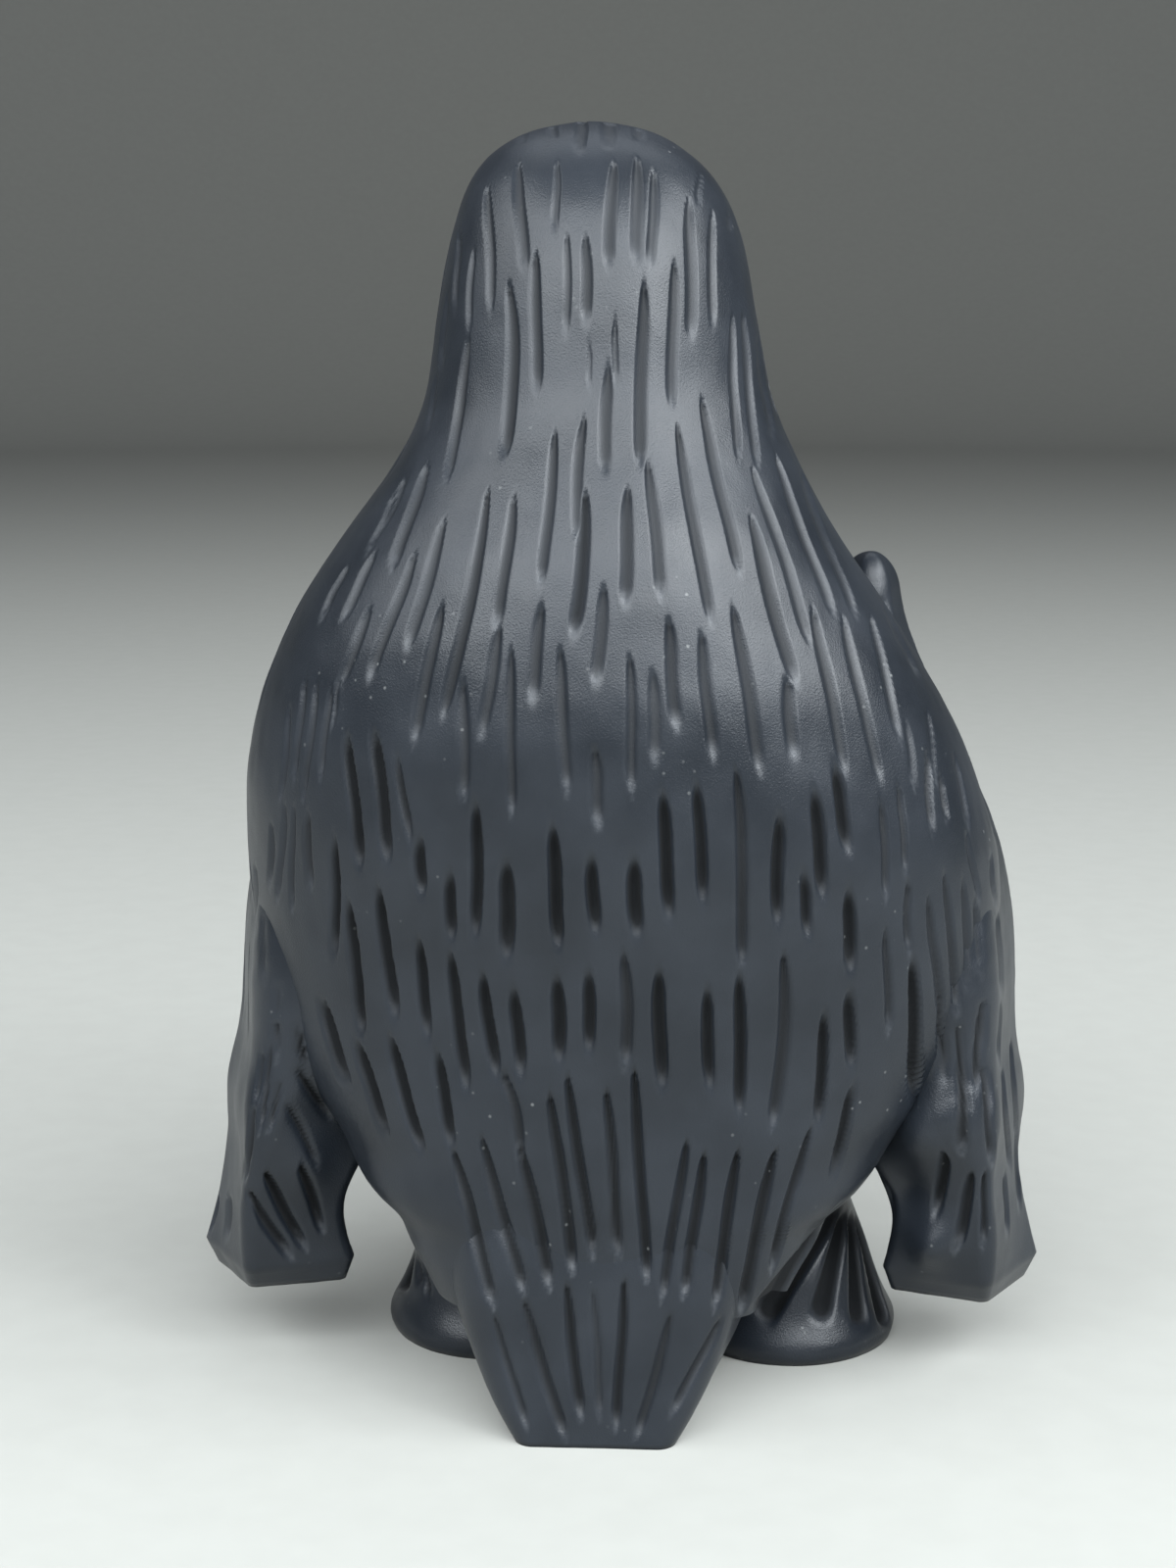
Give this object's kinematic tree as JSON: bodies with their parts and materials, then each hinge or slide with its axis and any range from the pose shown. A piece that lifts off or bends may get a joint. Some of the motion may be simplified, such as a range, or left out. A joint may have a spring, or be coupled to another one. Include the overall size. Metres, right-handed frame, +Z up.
{
  "type": "penguin figurine",
  "caption": "Free-standing matte black penguin ornament with carved feather strokes; castings pinned and glued, standing on webbed feet and tail.",
  "frame": {"origin": "on the standing surface, at the middle of the outline seen from above", "axes": "+Z up; the penguin faces -Y; its left side is +X"},
  "size_m": [0.1392, 0.0936, 0.2],
  "materials": {
    "black_paint": "matte blue-black paint over cast resin, a little worn on edges and groove ends",
    "eye_bead": "polished black glass",
    "bare_resin": "bare cast resin",
    "dowel_wood": "plain beech",
    "pin_steel": "drawn steel wire"
  },
  "bodies": {
    "root": {"torso": "black_paint", "head": "black_paint", "beak": "black_paint", "tail": "black_paint", "left_flipper": "black_paint", "right_flipper": "black_paint", "left_foot": "black_paint", "right_foot": "black_paint", "left_eye": "eye_bead", "right_eye": "eye_bead", "belly_plug": "bare_resin", "neck_dowel": "dowel_wood", "beak_pin": "pin_steel", "tail_pins": "pin_steel", "left_flipper_pins": "pin_steel", "right_flipper_pins": "pin_steel", "left_leg_rod": "pin_steel", "right_leg_rod": "pin_steel"}
  },
  "joints": []
}
